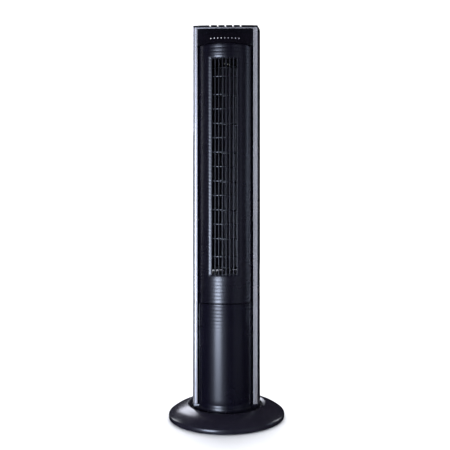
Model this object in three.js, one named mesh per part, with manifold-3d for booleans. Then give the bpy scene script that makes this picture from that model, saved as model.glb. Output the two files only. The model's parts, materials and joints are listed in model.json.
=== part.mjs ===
// A free-standing tower fan: a tall oscillating tower with a cross-flow impeller, on a round sloped base.
// Millimetres, +Z up, the front faces -Y. The origin is on the floor, on the tower's swivel axis.

import * as THREE from "three";
import { mergeVertices } from "three/addons/utils/BufferGeometryUtils.js";
import Module from "manifold-3d";

const wasm = await Module();
wasm.setup();

// ---------------------------------------------------------------- driving dimensions

const HEIGHT = 1000; // floor to the top of the cap
const GAP = 0.3; // clearance between two pieces that rest on each other
const RUN = 0.4; // radial clearance of a turning or sliding piece

// base
const RIM_R = 149;
const FOOT_H = 2.5;
const CREST_Z = 37;
const WELL_R = 90.5; // the round well that the tower turns in
const WELL_FLOOR = 24;
// [radius, height] of the domed slope, from the rim to the lip of the well
const DOME = [
  [149, 9.5], [148, 13], [145.5, 15.8], [136, 22.4], [125, 28.6],
  [113, 33.4], [104, 36.4], [101, CREST_Z], [97.5, 36.4], [WELL_R, 33],
];
const NECK_HOLE_R = 61; // hole in the well's floor
const BASE_WALL = 2.6;
const FEET = 5;
const FOOT_CIRCLE = 128;

// tower, seen from above
const HALF_W = 86.3; // widest half-width, on the axis
const REAR_Y = 92;
const RAIL_Y = -54; // front of the side rails
const RAIL_X = 81.4; // half-width there
const SPLIT_Y = -28; // where the rails meet the rear housing
const WALL = 2.6;
const FRONT_R = 72.6; // radius of the curved front panels
const FRONT_Y = -23.3; // y of that radius's centre
const FRONT_HALF = THREE.MathUtils.degToRad(74); // half the angle that the upper front spans
const LOWER_HALF = THREE.MathUtils.degToRad(71.2); // and that the lower panel spans
const FRONT_WALL = 3;
const TRIM_IN = 70.3;
const TRIM_OUT = 80.8;
const TRIM_Y = -57;

// tower, heights
const TABLE_Z = 27.6; // underside of the turntable
const FOOT_Z = 39.5; // underside of the tower's foot
const TOWER_Z = 46.4; // lower edge of the front and rear shells
const TRIM_Z = 49;
const SEAM_Z = 305.5; // middle of the joint between the lower panel and the grille
const SEAM_HALF = 0.9; // half the joint's width
const SEAM_ARCH = 3.6; // the joint's ends are this much lower than its middle
const DISPLAY_Z = 948; // joint between the grille and the control window
const HOOD_Z = 977.6; // joint between the control window and the cap
const CAP_Z = 985;
const CAP_JOINT = 1.2; // open joint between the cap and the rear housing
const RIB_PITCH = 8.9;
const OUTLET_Z = 377.4;
const OUTLET_RIBS = 60; // the outlet is this many rib pitches high
const OUTLET_TOP = OUTLET_Z + OUTLET_RIBS * RIB_PITCH;
const OUTLET_HALF = 34.5;
const VANES = 8;
const VANE_PITCH = 9.1;
const VANE_DEPTH = 9.5;

// impeller and motor
const IMPELLER_R = 41;
const IMPELLER_Z = 388;
const STAGES = 7;
const STAGE_H = 72.8;
const IMPELLER_TOP = IMPELLER_Z + STAGES * STAGE_H;
const BLADES = 9;
const SHAFT_R = 3;
const MOTOR_Z = 316;
const MOTOR_H = 49;
const MOTOR_R = 41;

// oscillation: a pinion on the tower rolls round a gear that is fixed to the base
const GEAR_MODULE = 1.5;
const FIXED_TEETH = 30;
const PINION_TEETH = 12;
const PINION_Y = (GEAR_MODULE * (FIXED_TEETH + PINION_TEETH)) / 2;

// buttons
const BUTTONS = 4;
const BUTTON_PITCH = 19.2;
const BUTTON_W = 15.5;
const BUTTON_FRONT = -60.2; // front of a key's top, which oversails its stem
const STEM_FRONT = -56.6;
const BUTTON_BACK = -36;
const KEYWAY_HALF = 40.3; // half-width of the lowered part of the cap that holds the buttons
const KEYWAY_Z = 996;
const PRESS = 1.2; // travel of a button

// The control head fills the space between the trims. Its plan is an arc that flattens upwards.
const HEAD_HALF = 70;
const HEAD_Y = -57.4; // its two sides, level with the trims
const HEAD_BOW = 39.7; // how far its middle stands forward at the bottom
const CREST_BOW = 2.5; // and at the top
const BAR_Z = 991.4; // bottom of the silver bar that crosses the head
const BAR_TOP = 994.6;

// ---------------------------------------------------------------- materials

const finish = (color, roughness, metalness = 0) =>
  new THREE.MeshStandardMaterial({ color, roughness, metalness });

const satinBlack = finish(0x15151b, 0.42);
const glossBlack = finish(0x08080c, 0.16);
const silver = finish(0xb6b7c6, 0.3, 0.75);
const rubber = finish(0x1c1c1e, 0.85);
const darkPlastic = finish(0x202024, 0.55);
const nylon = finish(0xd9d6cc, 0.5);
const steel = finish(0xa2a4a8, 0.35, 0.9);
const circuit = finish(0x1d5a34, 0.55);
const milky = finish(0xe6eaf2, 0.4);
const keyGrey = finish(0x24242c, 0.35);

// ---------------------------------------------------------------- solids

// A closed geometry as a manifold solid.
function solid(geometry) {
  const bare = geometry.index ? geometry.toNonIndexed() : geometry.clone();
  for (const name of Object.keys(bare.attributes)) {
    if (name !== "position") bare.deleteAttribute(name);
  }
  const merged = mergeVertices(bare, 1e-4);
  return new wasm.Manifold(
    new wasm.Mesh({
      numProp: 3,
      vertProperties: merged.attributes.position.array,
      triVerts: new Uint32Array(merged.index.array),
    }),
  );
}

// A manifold solid as a three.js geometry.
function geometryOf(made) {
  const m = made.getMesh();
  const points = new Float32Array(m.numVert * 3);
  for (let i = 0; i < m.numVert; i++) {
    points.set(m.vertProperties.subarray(i * m.numProp, i * m.numProp + 3), i * 3);
  }
  const g = new THREE.BufferGeometry();
  g.setAttribute("position", new THREE.BufferAttribute(points, 3));
  g.setIndex(new THREE.BufferAttribute(new Uint32Array(m.triVerts), 1));
  return g;
}

function box(x0, x1, y0, y1, z0, z1) {
  const g = new THREE.BoxGeometry(x1 - x0, y1 - y0, z1 - z0);
  return solid(g.translate((x0 + x1) / 2, (y0 + y1) / 2, (z0 + z1) / 2));
}

// An upright cylinder.
function post(r, z0, z1, x = 0, y = 0, sides = 24) {
  const g = new THREE.CylinderGeometry(r, r, z1 - z0, sides).rotateX(Math.PI / 2);
  return solid(g.translate(x, y, (z0 + z1) / 2));
}

// A cylinder that lies along Y.
function rod(r, y0, y1, x, z, sides = 16) {
  const g = new THREE.CylinderGeometry(r, r, y1 - y0, sides);
  return solid(g.translate(x, (y0 + y1) / 2, z));
}

// An outline in the XY plane, raised from z0 to z1.
function prism(outline, z0, z1, curveSegments = 12) {
  const shape = Array.isArray(outline) ? new THREE.Shape(outline) : outline;
  const g = new THREE.ExtrudeGeometry(shape, {
    depth: z1 - z0,
    bevelEnabled: false,
    curveSegments,
  });
  return solid(g.translate(0, 0, z0));
}

// A closed profile of [radius, height] points, turned round the Z axis.
function turned(profile, segments = 40) {
  const points = profile.map(([r, z]) => new THREE.Vector2(r, z));
  const onAxis = profile[0][0] === 0 && profile.at(-1)[0] === 0;
  if (!onAxis) points.push(points[0].clone());
  return solid(new THREE.LatheGeometry(points, segments).rotateX(Math.PI / 2));
}

const ring = (inner, outer, z0, z1, segments = 32) =>
  turned([[inner, z0], [outer, z0], [outer, z1], [inner, z1]], segments);

// A point on an arc round the front panels' centre, at an angle from straight ahead.
const frontPoint = (r, angle) =>
  new THREE.Vector2(r * Math.sin(angle), FRONT_Y - r * Math.cos(angle));

// An upright curved strip of the front: outer radius, thickness, half-angle and height.
function frontArc(r, thickness, half, z0, z1, steps = 24) {
  const points = [];
  for (let i = 0; i <= steps; i++) points.push(frontPoint(r, half * ((2 * i) / steps - 1)));
  for (let i = steps; i >= 0; i--) {
    points.push(frontPoint(r - thickness, half * ((2 * i) / steps - 1)));
  }
  return prism(points, z0, z1);
}

// Half-width of the tower's side at a depth between the rails' front and the axis.
const sideX = (y) => HALF_W - (HALF_W - RAIL_X) * (y / RAIL_Y) ** 2;

// The tower's outline from above, from y = front round the back, inset by a distance.
function towerOutline(front, inset = 0, steps = 12) {
  const right = [];
  const sides = 6;
  for (let i = 0; i < sides; i++) {
    const y = front * (1 - i / sides);
    right.push(new THREE.Vector2(sideX(y) - inset, y));
  }
  for (let i = 0; i < steps; i++) {
    const a = ((Math.PI / 2) * i) / steps;
    right.push(
      new THREE.Vector2((HALF_W - inset) * Math.cos(a), (REAR_Y - inset) * Math.sin(a)),
    );
  }
  const left = right.map((p) => new THREE.Vector2(-p.x, p.y)).reverse();
  return [...right, new THREE.Vector2(0, REAR_Y - inset), ...left];
}

// A wall of constant thickness that follows a list of [x, y] points.
function wall(path, thickness, z0, z1) {
  const points = path.map(([x, y]) => new THREE.Vector2(x, y));
  const sideways = points.map((p, i) => {
    const from = points[Math.max(0, i - 1)];
    const to = points[Math.min(points.length - 1, i + 1)];
    const along = to.clone().sub(from).normalize();
    return new THREE.Vector2(-along.y, along.x).multiplyScalar(thickness / 2);
  });
  const one = points.map((p, i) => p.clone().add(sideways[i]));
  const other = points.map((p, i) => p.clone().sub(sideways[i])).reverse();
  return prism([...one, ...other], z0, z1);
}

// The y of the control head's face. The head leans back evenly as far as the silver bar.
function headFront(x, z) {
  const rise = Math.min(1, (z - DISPLAY_Z) / (BAR_Z - DISPLAY_Z));
  const bow = HEAD_BOW + (CREST_BOW - HEAD_BOW) * rise;
  const r = (HEAD_HALF ** 2 + bow ** 2) / (2 * bow);
  return HEAD_Y - Math.sqrt(r ** 2 - x ** 2) + (r - bow);
}

// A block with the head's face, set back by an inset.
function headBlock(z0, z1, inset, half, back, steps = 20) {
  const points = [];
  for (const z of [z0, z1]) {
    for (let i = 0; i <= steps; i++) {
      const x = half * ((2 * i) / steps - 1);
      points.push([x, headFront(x, z) + inset, z]);
    }
    points.push([-half, back, z], [half, back, z]);
  }
  return wasm.Manifold.hull(points);
}

// A spur gear with straight-sided teeth and some play, the first tooth at an angle.
function gear(teeth, start, z0, z1) {
  const pitchR = (GEAR_MODULE * teeth) / 2;
  const pitch = (2 * Math.PI) / teeth;
  const flank = [
    [pitchR - 1.15 * GEAR_MODULE, -0.33], [pitchR + 0.8 * GEAR_MODULE, -0.12],
    [pitchR + 0.8 * GEAR_MODULE, 0.12], [pitchR - 1.15 * GEAR_MODULE, 0.33],
  ];
  const outline = [];
  for (let i = 0; i < teeth; i++) {
    for (const [r, part] of flank) {
      const a = start + (i + part) * pitch;
      outline.push(new THREE.Vector2(r * Math.cos(a), r * Math.sin(a)));
    }
  }
  return prism(outline, z0, z1);
}

// ---------------------------------------------------------------- scene graph

const fan = new THREE.Group();

function add(name, made, material) {
  const mesh = new THREE.Mesh(geometryOf(made), material);
  mesh.name = name;
  fan.add(mesh);
}

// ---------------------------------------------------------------- base

function buildBase() {
  const underside = FOOT_H;
  const inside = DOME.slice(0, 5).map(([r, z]) => [r - 3.2, z - BASE_WALL]).reverse();
  let cover = turned([
    [RIM_R - 1.2, underside],
    [RIM_R, underside + 1.6],
    ...DOME,
    [WELL_R, WELL_FLOOR],
    [NECK_HOLE_R, WELL_FLOOR],
    [NECK_HOLE_R, WELL_FLOOR - BASE_WALL],
    [WELL_R + BASE_WALL, WELL_FLOOR - BASE_WALL],
    [WELL_R + BASE_WALL, CREST_Z - 8],
    ...inside,
    [RIM_R - 3.2, underside],
  ]);
  const plateR = RIM_R - 3.2 - 2 * GAP;
  const plateTop = underside + 3.4;
  let plate = turned([[0, underside], [plateR, underside], [plateR, plateTop], [0, plateTop]]);
  plate = plate.subtract(post(6, underside - 1, underside + 5));
  // Three screws go up through the plate into bosses under the cover.
  const screwCircle = 112;
  for (let i = 0; i < 3; i++) {
    const a = Math.PI / 2 + ((i + 0.5) * 2 * Math.PI) / 3;
    const x = screwCircle * Math.cos(a);
    const y = screwCircle * Math.sin(a);
    plate = plate.subtract(post(2.2, underside - 1, underside + 5, x, y, 12));
    plate = plate.subtract(post(4.4, underside - 1, underside + 1.6, x, y, 16));
    cover = cover.add(post(5, plateTop + GAP, 31.5, x, y, 12));
    cover = cover.subtract(post(2.1, plateTop, 17, x, y, 12));
    const head = post(4, underside + 0.2, underside + 1.4, x, y, 16);
    add(`base_screw_${i + 1}`, head.add(post(1.8, underside + 1.2, 14.5, x, y, 12)), steel);
  }
  add("base_cover", cover, glossBlack);
  add("base_plate", plate, darkPlastic);

  for (let i = 0; i < FEET; i++) {
    const a = -Math.PI / 2 + (i * 2 * Math.PI) / FEET;
    const x = FOOT_CIRCLE * Math.cos(a);
    const y = FOOT_CIRCLE * Math.sin(a);
    add(`rubber_foot_${i + 1}`, post(9, 0, underside - GAP, x, y, 20), rubber);
  }

  add("slide_ring", ring(64, 84, WELL_FLOOR + GAP, TABLE_Z - GAP, 36), nylon);

  // The fixed gear stands on the plate, with a tooth straight towards the pinion.
  const gearZ = plateTop + GAP;
  const fixed = gear(FIXED_TEETH, Math.PI / 2, gearZ, 21).subtract(post(9, gearZ - 1, 22));
  add("fixed_gear", fixed, nylon);
}

// ---------------------------------------------------------------- swivel and oscillation drive

function buildSwivel() {
  const top = FOOT_Z - GAP;
  const edge = WELL_R - 4;
  let table = turned([
    [0, TABLE_Z], [edge - 1, TABLE_Z], [edge, TABLE_Z + 1], [edge, top - 1], [edge - 1, top], [0, top],
  ]);
  const neckBottom = 15;
  table = table.add(ring(52, 58, neckBottom, TABLE_Z + 1, 36));
  table = table.subtract(post(SHAFT_R + 1.5, 20, 50, 0, PINION_Y, 16));
  table = table.subtract(post(8, 20, 50, 0, -24, 20));
  add("turntable", table, satinBlack);
  add("retaining_ring", ring(52.3, 69, neckBottom - 3.3, neckBottom - GAP, 36), steel);

  // At rest a gap of the pinion faces the fixed gear.
  const pinion = gear(PINION_TEETH, -Math.PI / 2 + Math.PI / PINION_TEETH, 13.5, 20.6)
    .translate(0, PINION_Y, 0)
    .add(post(5.5, 20, 24, 0, PINION_Y, 16))
    .add(post(SHAFT_R, 23, TOWER_Z + 2, 0, PINION_Y, 16));
  add("drive_pinion", pinion, nylon);
  const motor = post(25, TOWER_Z + GAP, TOWER_Z + 18, 0, PINION_Y, 32);
  add("oscillation_motor", motor.subtract(post(SHAFT_R + 1, 40, TOWER_Z + 4, 0, PINION_Y, 16)), steel);
}

// ---------------------------------------------------------------- tower shells

function buildFoot() {
  const inset = 2.2;
  const plan = prism(towerOutline(RAIL_Y + inset, inset, 10), FOOT_Z, TOWER_Z - GAP);
  const bow = frontArc(FRONT_R - 0.6, FRONT_R - 12, LOWER_HALF, FOOT_Z, TOWER_Z - GAP);
  let foot = plan.add(bow);
  foot = foot.subtract(post(SHAFT_R + 1.5, 20, 60, 0, PINION_Y, 16));
  foot = foot.subtract(post(8, 20, 60, 0, -24, 20));
  add("tower_foot", foot, satinBlack);
}

function buildRails() {
  for (const [side, name] of [[1, "right"], [-1, "left"]]) {
    const outer = [];
    const steps = 5;
    for (let i = 0; i <= steps; i++) {
      const y = SPLIT_Y + ((RAIL_Y - SPLIT_Y) * i) / steps;
      outer.push([sideX(y), y]);
    }
    const inner = [[TRIM_IN - 0.1, RAIL_Y], [TRIM_IN - 0.1, -44.5], [80, -40], [80, SPLIT_Y]];
    const points = [...outer, ...inner].map(([x, y]) => new THREE.Vector2(side * x, y));
    add(`side_rail_${name}`, prism(points, TOWER_Z, CAP_Z - GAP), satinBlack);

    // The strip's face is flat on its inner half and slopes back towards the side on its outer half.
    const strip = [
      [TRIM_IN, RAIL_Y - GAP], [TRIM_IN, TRIM_Y], [(TRIM_IN + TRIM_OUT) / 2, TRIM_Y],
      [TRIM_OUT - 0.5, TRIM_Y + 2.4], [TRIM_OUT, RAIL_Y - GAP],
    ].map(([x, y]) => new THREE.Vector2(side * x, y));
    add(`silver_trim_${name}`, prism(strip, TRIM_Z, BAR_TOP), silver);
  }
}

const GRIP_HALF = 49;
const GRIP_Z = 928;
const GRIP_TOP = 958;
const INTAKE_HALF = 49;
const INTAKE_Z = 392;
const INTAKE_TOP = 898;
const GLAND_Z = 82;
const SCREW_X = 34;
const SCREW_HEIGHTS = [120, 350];

// y of the tower's back surface at a distance from the middle.
const backY = (x, inset = 0) =>
  (REAR_Y - inset) * Math.sqrt(1 - (x / (HALF_W - inset)) ** 2);

function buildRearHousing() {
  const z0 = TOWER_Z;
  const z1 = CAP_Z - CAP_JOINT;
  const outer = prism(towerOutline(SPLIT_Y + GAP, 0), z0, z1);
  const inner = prism(towerOutline(SPLIT_Y + GAP - 2, WALL), z0 - 1, z1 + 1);
  let shell = outer.subtract(inner);
  const behind = REAR_Y + 10;
  shell = shell.subtract(box(-INTAKE_HALF, INTAKE_HALF, 20, behind, INTAKE_Z, INTAKE_TOP));
  shell = shell.subtract(box(-GRIP_HALF, GRIP_HALF, 40, behind, GRIP_Z, GRIP_TOP));
  shell = shell.subtract(rod(6.4, 60, behind, 0, GLAND_Z, 20));
  let count = 0;
  for (const z of SCREW_HEIGHTS) {
    for (const x of [-SCREW_X, SCREW_X]) {
      const surface = backY(x);
      shell = shell.add(rod(7, surface - 16, surface - 1.5, x, z, 16));
      shell = shell.subtract(rod(4.4, surface - 4, behind, x, z, 16));
      shell = shell.subtract(rod(2.1, surface - 17, behind, x, z, 12));
      const head = rod(4, surface - 3.7, surface - 1.6, x, z, 16);
      const shank = rod(1.8, surface - 14, surface - 3.5, x, z, 12);
      count += 1;
      add(`housing_screw_${count}`, head.add(shank), steel);
    }
  }
  add("rear_housing", shell, satinBlack);

  const gland = rod(6, 84, REAR_Y + 1.6, 0, GLAND_Z, 20)
    .add(rod(8.4, REAR_Y + 0.4, REAR_Y + 2.4, 0, GLAND_Z, 20))
    .add(rod(8.4, 86, 88.6, 0, GLAND_Z, 20))
    .subtract(rod(3.6, 80, REAR_Y + 9, 0, GLAND_Z, 16));
  add("cord_gland", gland, rubber);
}

// The intake grille fills the window in the rear housing with upright bars and cross hoops.
function buildIntakeGrille() {
  const half = INTAKE_HALF - GAP;
  const z0 = INTAKE_Z + GAP;
  const z1 = INTAKE_TOP - GAP;
  const skin = (inset, depth, a, b) =>
    prism(towerOutline(SPLIT_Y, inset, 10), a, b).subtract(
      prism(towerOutline(SPLIT_Y - 5, inset + depth, 10), a - 1, b + 1),
    );
  const band = (a, b) => skin(0.4, 4.4, a, b).intersect(box(-half, half, 20, REAR_Y + 5, a, b));
  const hoops = 5;
  const hoopH = 3;
  let grille = band(z0, z0 + 6).add(band(z1 - 6, z1));
  for (let i = 1; i < hoops; i++) {
    const z = z0 + ((z1 - z0) * i) / hoops;
    grille = grille.add(band(z - hoopH / 2, z + hoopH / 2));
  }
  const bars = 9;
  const barW = 3;
  for (let i = 0; i <= bars; i++) {
    const x = (-half + barW / 2) + ((2 * half - barW) * i) / bars;
    const y = backY(Math.min(Math.abs(x) + barW / 2, half), 0.4);
    grille = grille.add(box(x - barW / 2, x + barW / 2, y - 5.5, y - 0.05, z0, z1));
  }
  add("intake_grille", grille, satinBlack);
}

function buildGrip() {
  const half = GRIP_HALF - GAP;
  const z0 = GRIP_Z + GAP;
  const z1 = GRIP_TOP - GAP;
  const deep = 50;
  const behind = REAR_Y + 5;
  const plug = prism(towerOutline(SPLIT_Y, 0.4), z0, z1).intersect(box(-half, half, deep, behind, z0, z1));
  const pocket = box(-half + 2.4, half - 2.4, deep + 2.4, behind, z0 + 2.4, z1 - 2.4);
  add("grip_pocket", plug.subtract(pocket), satinBlack);
}

// Everything below an arched line across the front, down to z0.
function belowArch(top, z0, half = 80, steps = 16) {
  const line = [];
  for (let i = 0; i <= steps; i++) {
    const x = half * ((2 * i) / steps - 1);
    line.push(new THREE.Vector2(x, top - SEAM_ARCH * (x / FRONT_R) ** 2));
  }
  const outline = [new THREE.Vector2(-half, z0), new THREE.Vector2(half, z0), ...line.reverse()];
  return prism(outline, 0, 140).rotate([90, 0, 0]);
}

function buildFrontPanels() {
  const z0 = SEAM_Z + SEAM_HALF;
  const z1 = DISPLAY_Z - 0.8;
  let grille = frontArc(FRONT_R, FRONT_WALL, FRONT_HALF, z0 - SEAM_ARCH, z1);
  grille = grille.subtract(belowArch(z0, z0 - 2 * SEAM_ARCH));
  grille = grille.subtract(box(-OUTLET_HALF, OUTLET_HALF, -120, -40, OUTLET_Z, OUTLET_TOP));
  const barHalf = OUTLET_HALF + 0.8;
  // The bars are every fourth rib, with one rib more at each end.
  const barRibs = [5, ...Array.from({ length: 11 }, (_, i) => 10 + 4 * i), OUTLET_RIBS - 5];
  for (const rib of barRibs) {
    const z = OUTLET_Z + rib * RIB_PITCH;
    grille = grille.add(box(-barHalf, barHalf, -86.6, -84.6, z - 1.1, z + 1.1));
  }
  for (let i = 0; i < VANES; i++) {
    const x = (i - (VANES - 1) / 2) * VANE_PITCH;
    const y = FRONT_Y - Math.sqrt((FRONT_R - 2.2) ** 2 - x ** 2);
    grille = grille.add(box(x - 1.2, x + 1.2, y, y + VANE_DEPTH, OUTLET_Z - 1.5, OUTLET_TOP + 1.5));
  }
  add("front_grille", grille, satinBlack);

  const seam = SEAM_Z - SEAM_HALF;
  const sheet = frontArc(FRONT_R, FRONT_WALL, LOWER_HALF, TOWER_Z, seam);
  const lower = sheet.intersect(belowArch(seam, TOWER_Z - 1));
  const lip = frontArc(FRONT_R + 0.5, 3, LOWER_HALF, TOWER_Z, TOWER_Z + 6.5);
  add("lower_front_panel", lower.add(lip), glossBlack);
}

// ---------------------------------------------------------------- air duct

const SCROLL = [
  [37.5, -77], [39, -62], [44, -42], [52, -21], [57, 0], [56.5, 20], [50, 38],
];
const TONGUE = [[-37.5, -77], [-38, -50], [-39, -26], [-44, -17], [-54, -14], [-66, -12]];

function buildDuct() {
  add("duct_scroll", wall(SCROLL, 2, OUTLET_Z, OUTLET_TOP), darkPlastic);
  add("duct_tongue", wall(TONGUE, 2, OUTLET_Z, OUTLET_TOP), darkPlastic);
  const zTop = OUTLET_TOP + GAP;
  const plate = (z0, z1) => box(-76, 76, -34, 27, z0, z1).add(box(-40, 40, -76, -30, z0, z1));
  const top = plate(zTop, zTop + 3).subtract(post(9, 900, 940, 0, 0, 24));
  add("duct_top_plate", top, darkPlastic);
  const zBottom = OUTLET_Z - GAP;
  add("motor_bracket", plate(zBottom - 3, zBottom).subtract(post(14, 360, 400)), steel);
  const bush = turned([
    [SHAFT_R + RUN, zTop - 3], [8.4, zTop - 3], [8.4, zTop + 3.4], [12, zTop + 3.4],
    [12, zTop + 6], [SHAFT_R + RUN, zTop + 6],
  ], 24);
  add("top_bearing_bush", bush, nylon);
}

// ---------------------------------------------------------------- impeller and motor

function buildImpeller() {
  const disc = 2.4;
  let wheel = ring(5, IMPELLER_R, IMPELLER_Z, IMPELLER_Z + disc, 24);
  wheel = wheel.add(ring(SHAFT_R + 0.3, IMPELLER_R, IMPELLER_TOP - disc, IMPELLER_TOP, 24));
  for (let i = 1; i < STAGES; i++) {
    const z = IMPELLER_Z + i * STAGE_H;
    wheel = wheel.add(ring(IMPELLER_R - 10, IMPELLER_R, z - disc / 2, z + disc / 2, 24));
  }
  // Each stage's blades are turned a little from the stage below, as on a quiet cross-flow wheel.
  const blade = new THREE.BoxGeometry(8.6, 1.4, STAGE_H + 0.4);
  blade.rotateZ(THREE.MathUtils.degToRad(38));
  blade.translate(IMPELLER_R - 4.8, 0, 0);
  for (let stage = 0; stage < STAGES; stage++) {
    const z = IMPELLER_Z + (stage + 0.5) * STAGE_H;
    const lift = stage === 0 ? 0.6 : stage === STAGES - 1 ? -0.6 : 0;
    for (let i = 0; i < BLADES; i++) {
      const turn = ((i + stage / STAGES) * 2 * Math.PI) / BLADES;
      wheel = wheel.add(solid(blade.clone().rotateZ(turn).translate(0, 0, z + lift)));
    }
  }
  add("impeller", wheel, darkPlastic);
  add("top_stub_shaft", post(SHAFT_R, IMPELLER_TOP - disc, OUTLET_TOP + 8, 0, 0, 20), steel);
  add("motor_shaft", post(SHAFT_R, MOTOR_Z - 6, IMPELLER_Z + 6, 0, 0, 20), steel);
  const clamp = turned([
    [SHAFT_R + GAP, 379], [10, 379], [10, IMPELLER_Z - GAP], [4.6, IMPELLER_Z - GAP],
    [4.6, IMPELLER_Z + 5], [SHAFT_R + GAP, IMPELLER_Z + 5],
  ], 24);
  add("shaft_coupling", clamp, rubber);
  add("motor_rotor", ring(SHAFT_R + GAP, 19.4, MOTOR_Z + 8, MOTOR_Z + MOTOR_H - 9, 24), steel);
}

function buildMotor() {
  const top = MOTOR_Z + MOTOR_H;
  const can = turned([
    [6, MOTOR_Z], [MOTOR_R - 3, MOTOR_Z], [MOTOR_R, MOTOR_Z + 5], [MOTOR_R, top - 5], [MOTOR_R - 3, top],
    [6, top], [6, top - 4], [20.2, top - 4], [20.2, MOTOR_Z + 4], [6, MOTOR_Z + 4],
  ], 32);
  add("motor_housing", can, steel);
  add("motor_capacitor", box(-19, 19, 46, 64, MOTOR_Z + 12, MOTOR_Z + 44), darkPlastic);
  // The leads run up the back corner from the gland to the control board.
  const route = new THREE.CatmullRomCurve3(
    [
      [0, 82, GLAND_Z], [8, 72, GLAND_Z + 6], [40, 62, 130], [66, 44, 220], [70, 38, 400],
      [70, 38, 700], [66, 36, 900], [58, 10, 948], [46, -20, 962], [38, -44, 966],
    ].map(([x, y, z]) => new THREE.Vector3(x, y, z)),
  );
  const section = new THREE.Shape();
  section.absarc(0, 0, 2.4, 0, Math.PI * 2);
  const lead = new THREE.ExtrudeGeometry(section, { steps: 44, extrudePath: route, curveSegments: 3 });
  add("wiring_lead", solid(lead), rubber);
}

// ---------------------------------------------------------------- control head

const BOARD_Z = 974.2;

function buildControls() {
  // A shallow tray: a leaning face, two cheeks and a ledge over the top edge of the grille.
  const z0 = DISPLAY_Z + 0.8;
  const z1 = HOOD_Z - GAP;
  const face = 2.6;
  const ledge = 2;
  const open = HEAD_HALF - face;
  const tray = headBlock(z0, z1, 0, HEAD_HALF, -45);
  const hollow = headBlock(z0 + ledge, z1 + 1, face, open, -44);
  add("control_window", tray.subtract(hollow), glossBlack);

  const guide = headBlock(958, 964, face + GAP, 40, -55, 12);
  const rear = headBlock(957, 965, face + GAP + 3.4, 41, -54, 12);
  add("indicator_light_guide", guide.subtract(rear), milky);
  add("control_board", box(-44, 44, -48, -46.4, z0 + ledge + 3, 984), circuit);
  add("button_board", box(-40, 40, -64, -49.5, BOARD_Z, BOARD_Z + 1.6), circuit);
  for (let i = 0; i < BUTTONS; i++) {
    const x = (i - (BUTTONS - 1) / 2) * BUTTON_PITCH;
    const base = BOARD_Z + 1.6 + GAP;
    const touch = box(x - 3.5, x + 3.5, -56.4, -49.6, base, base + 3.6).add(
      post(1.8, base + 3, base + 5.4, x, -53, 12),
    );
    add(`tact_switch_${i + 1}`, touch, steel);
  }
}

function buildCap() {
  // The flat top, then the hood that carries the control window's face up to the top edge.
  const joined = RAIL_Y + 1;
  const body = prism(towerOutline(RAIL_Y, 0), CAP_Z, HEIGHT);
  const cavity = prism(towerOutline(RAIL_Y + 3, 3), CAP_Z - 1, HEIGHT - 8);
  const hood = headBlock(HOOD_Z, BAR_Z, 0, HEAD_HALF, joined);
  const brow = headBlock(BAR_Z, HEIGHT, 0, HEAD_HALF, joined);
  const ends = box(-TRIM_OUT, TRIM_OUT, TRIM_Y, joined, BAR_TOP + GAP, HEIGHT);
  let cap = body.subtract(cavity).add(hood).add(brow).add(ends);

  // The silver bar lies in a groove across the hood.
  const thick = 1.6;
  const behind = headBlock(BAR_Z - 2, BAR_TOP + 2, thick, HEAD_HALF + 3, joined);
  const bar = headBlock(BAR_Z, BAR_TOP, 0, HEAD_HALF - 0.2, HEAD_Y + thick).subtract(behind);
  add("silver_top_bar", bar, silver);
  const seat = headBlock(BAR_Z - 1, BAR_TOP + 1, thick + GAP, HEAD_HALF + 3, joined + 1);
  const reach = box(-HEAD_HALF - 1, HEAD_HALF + 1, -120, joined, BAR_Z - 0.1, BAR_TOP + 0.1);
  cap = cap.subtract(reach.subtract(seat));

  cap = cap.subtract(box(-KEYWAY_HALF, KEYWAY_HALF, -120, BUTTON_BACK + RUN, KEYWAY_Z, HEIGHT + 1));
  for (let i = 0; i < BUTTONS; i++) {
    const x = (i - (BUTTONS - 1) / 2) * BUTTON_PITCH;
    const half = BUTTON_W / 2 + RUN;
    cap = cap.subtract(box(x - half, x + half, STEM_FRONT - RUN, BUTTON_BACK + RUN, HOOD_Z - 5, HEIGHT + 1));
  }
  add("top_cap", cap, glossBlack);
}

function buildButtons() {
  const lip = KEYWAY_Z + PRESS + 0.2; // the key's top stays clear of the keyway when pressed
  const side = new THREE.Shape(
    [
      [STEM_FRONT, 983], [STEM_FRONT, lip], [BUTTON_FRONT, lip], [BUTTON_FRONT, HEIGHT - 0.8],
      [BUTTON_FRONT + 0.8, HEIGHT], [BUTTON_BACK, HEIGHT], [BUTTON_BACK, 987], [-50, 987], [-50, 983],
    ].map(([y, z]) => new THREE.Vector2(y, z)),
  );
  for (let i = 0; i < BUTTONS; i++) {
    const x = (i - (BUTTONS - 1) / 2) * BUTTON_PITCH;
    const key = new THREE.ExtrudeGeometry(side, { depth: BUTTON_W, bevelEnabled: false });
    key.applyMatrix4(
      new THREE.Matrix4().set(0, 0, 1, x - BUTTON_W / 2, 1, 0, 0, 0, 0, 1, 0, 0, 0, 0, 0, 1),
    );
    add(`button_${i + 1}`, solid(key), keyGrey);
  }
}

buildBase();
buildSwivel();
buildFoot();
buildRails();
buildRearHousing();
buildIntakeGrille();
buildGrip();
buildFrontPanels();
buildDuct();
buildImpeller();
buildMotor();
buildControls();
buildCap();
buildButtons();

export default fan;
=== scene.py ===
"""Looks of the tower fan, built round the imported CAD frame. Metres, +Z up, the front faces -Y."""

import json
import math

import bmesh
import bpy
from mathutils import Matrix, Vector


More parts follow.
